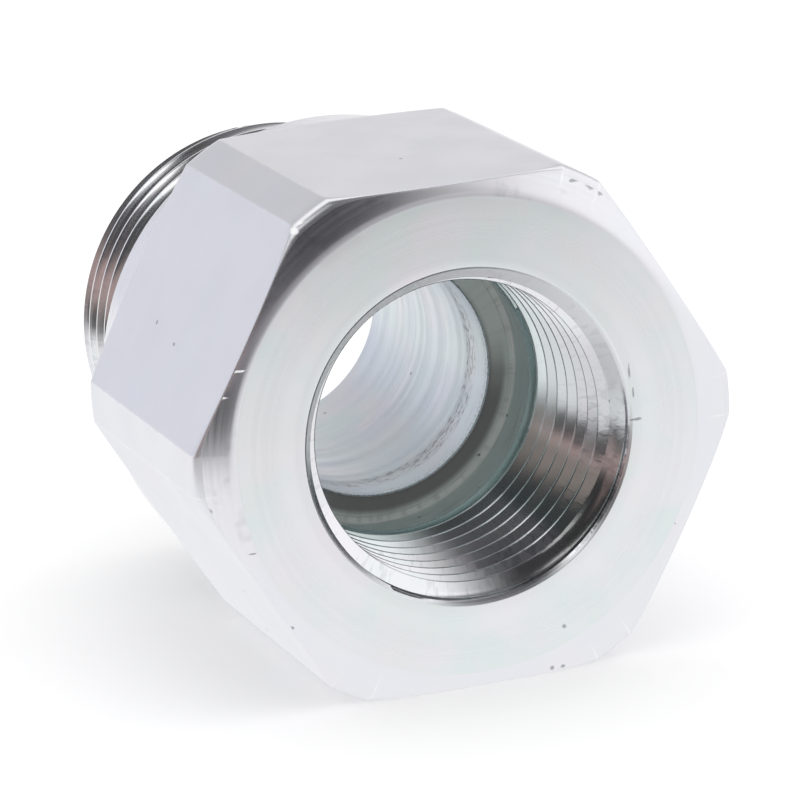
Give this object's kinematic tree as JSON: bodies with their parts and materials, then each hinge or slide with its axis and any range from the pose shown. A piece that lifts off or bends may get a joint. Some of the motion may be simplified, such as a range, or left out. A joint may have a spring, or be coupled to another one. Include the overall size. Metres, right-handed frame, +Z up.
{
  "type": "hydraulic reducer",
  "caption": "Hexagon-bodied threaded reducer: female threaded port at one end, larger male threaded stud with a sealing collar at the other, plain bore right through.",
  "frame": {"origin": "on the axis of the flow bore, in the plane of the sealing shoulder", "axes": "+Y along the axis towards the end of the male stud, the female port opens towards -Y, +Z up with the part lying on its lowest flat"},
  "size_m": [0.0355, 0.043, 0.032],
  "materials": {
    "zinc_plated_steel": "bright zinc plate over turned steel, satin"
  },
  "bodies": {
    "root": {"reducer_body": "zinc_plated_steel"}
  },
  "joints": []
}
